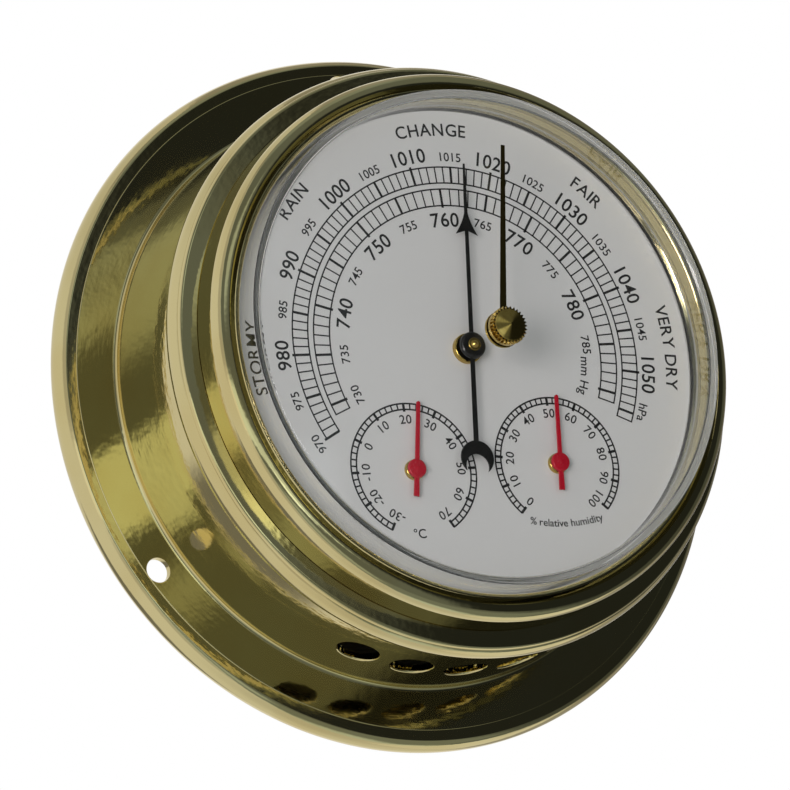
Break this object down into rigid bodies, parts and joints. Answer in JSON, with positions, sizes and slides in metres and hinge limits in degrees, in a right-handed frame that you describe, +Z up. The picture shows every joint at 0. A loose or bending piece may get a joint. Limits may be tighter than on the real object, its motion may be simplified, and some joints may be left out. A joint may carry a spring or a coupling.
{
  "type": "weather station",
  "caption": "Round wall weather station in a spun brass case, with a barometer, thermometer and hygrometer on one white dial under a domed clear cover.",
  "frame": {"origin": "centre of the flange, in the wall plane that the rim rests on", "axes": "+Z up as it hangs, +Y into the wall, so the dial faces -Y; +X to the right of somebody who reads the dial"},
  "size_m": [0.1268, 0.0536, 0.1268],
  "materials": {
    "case_brass": "satin spun brass, lacquered, slightly olive",
    "movement_brass": "plain machined brass",
    "set_brass": "turned brass, slightly darkened",
    "steel": "plain steel",
    "blued_steel": "blued spring steel",
    "capsule_metal": "nickel silver, ringed",
    "acrylic": "clear acrylic, polished",
    "rubber": "black",
    "dial_print": "matt white paint with printed scales",
    "aluminium": "plain",
    "black_paint": "satin black",
    "red_paint": "satin red",
    "bimetal": "two-layer bimetal strip",
    "humidity_strip": "metal-backed humidity strip"
  },
  "bodies": {
    "case": {"case_body": "case_brass", "rear_cover": "aluminium", "bezel_ring": "case_brass", "crystal": "acrylic", "crystal_gasket": "rubber", "dial_plate": "dial_print", "dial_retaining_ring": "aluminium", "dial_feet": "movement_brass", "barometer_boss": "case_brass", "hairspring": "blued_steel", "hairspring_stud": "movement_brass", "rocker_bracket": "movement_brass", "aneroid_capsule": "capsule_metal", "main_spring": "blued_steel", "movement_screws": "steel", "movement_plate": "movement_brass", "movement_pillars": "movement_brass", "pillar_screws": "steel", "bridge_plate": "movement_brass", "gear_plate": "movement_brass", "gear_plate_spacers": "movement_brass", "gear_plate_screws": "steel", "thermometer_boss": "case_brass", "thermometer_coil": "bimetal", "thermometer_cock": "movement_brass", "hygrometer_boss": "case_brass", "hygrometer_coil": "humidity_strip", "hygrometer_cock": "movement_brass", "set_bush": "set_brass", "set_washer": "steel"},
    "sector": {"sector_gear": "movement_brass", "sector_arbor": "steel"},
    "barometer_train": {"barometer_hand": "black_paint", "hand_cap": "set_brass", "hand_arbor": "steel", "pinion": "movement_brass", "hairspring_collet": "movement_brass"},
    "rocker": {"rocker_shaft": "steel"},
    "lever": {"lever_arm": "movement_brass", "capsule_post": "steel", "drop_link": "steel"},
    "link": {"link_rod": "steel"},
    "set_pointer": {"set_knob": "set_brass", "set_hand": "set_brass", "set_shaft": "set_brass", "set_clip": "steel"},
    "thermometer_hand_set": {"thermometer_hand": "red_paint", "thermometer_arbor": "steel", "thermometer_collet": "movement_brass"},
    "hygrometer_hand_set": {"hygrometer_hand": "red_paint", "hygrometer_arbor": "steel", "hygrometer_collet": "movement_brass"},
    "calibration_screw_body": {"calibration_screw": "steel"}
  },
  "joints": [
    {"name": "sector_swing", "type": "hinge", "parent": "case", "child": "sector", "pos_m": [0, -0.0274, 0.0216], "axis": [0, 1, 0], "range_deg": [-13.5, 15.53]},
    {"name": "barometer_hand_turn", "type": "hinge", "parent": "case", "child": "barometer_train", "pos_m": [0, -0.035, 0], "axis": [0, 1, 0], "range_deg": [-124.72, 108.47], "deforming": ["hairspring"]},
    {"name": "rocker_turn", "type": "hinge", "parent": "case", "child": "rocker", "pos_m": [0.0215, -0.016, 0.016], "axis": [0, 0, 1], "range_deg": [-7.53, 8.66]},
    {"name": "lever_flex", "type": "hinge", "parent": "case", "child": "lever", "pos_m": [-0.03, -0.01565, 0.006], "axis": [0, 0, 1], "range_deg": [-0.83, 0.72], "deforming": ["main_spring", "aneroid_capsule"]},
    {"name": "link_rod_swing", "type": "hinge", "parent": "sector", "child": "link", "pos_m": [0, -0.0288, 0.0286], "axis": [0, 1, 0], "range_deg": [-15.84, 13.77]},
    {"name": "set_pointer_turn", "type": "hinge", "parent": "case", "child": "set_pointer", "pos_m": [0, -0.0504, -0.0006], "axis": [0, 1, 0], "continuous": true},
    {"name": "thermometer_hand_turn", "type": "hinge", "parent": "case", "child": "thermometer_hand_set", "pos_m": [-0.0139, -0.0365, -0.0211], "axis": [0, 1, 0], "range_deg": [-161.1, 138.9], "deforming": ["thermometer_coil"]},
    {"name": "hygrometer_hand_turn", "type": "hinge", "parent": "case", "child": "hygrometer_hand_set", "pos_m": [0.0139, -0.0365, -0.0211], "axis": [0, 1, 0], "range_deg": [-141.48, 128.52], "deforming": ["hygrometer_coil"]},
    {"name": "calibration_screw_turn", "type": "hinge", "parent": "case", "child": "calibration_screw_body", "pos_m": [-0.03, -0.0075, 0.006], "axis": [0, 1, 0], "range_deg": [-90, 90]}
  ],
  "couplings": [
    {"joint": "barometer_hand_turn", "follows": "sector_swing", "ratio": -8},
    {"joint": "rocker_turn", "follows": "sector_swing", "ratio": 0.54688},
    {"joint": "lever_flex", "follows": "sector_swing", "ratio": -0.05236},
    {"joint": "link_rod_swing", "follows": "sector_swing", "ratio": -1}
  ]
}
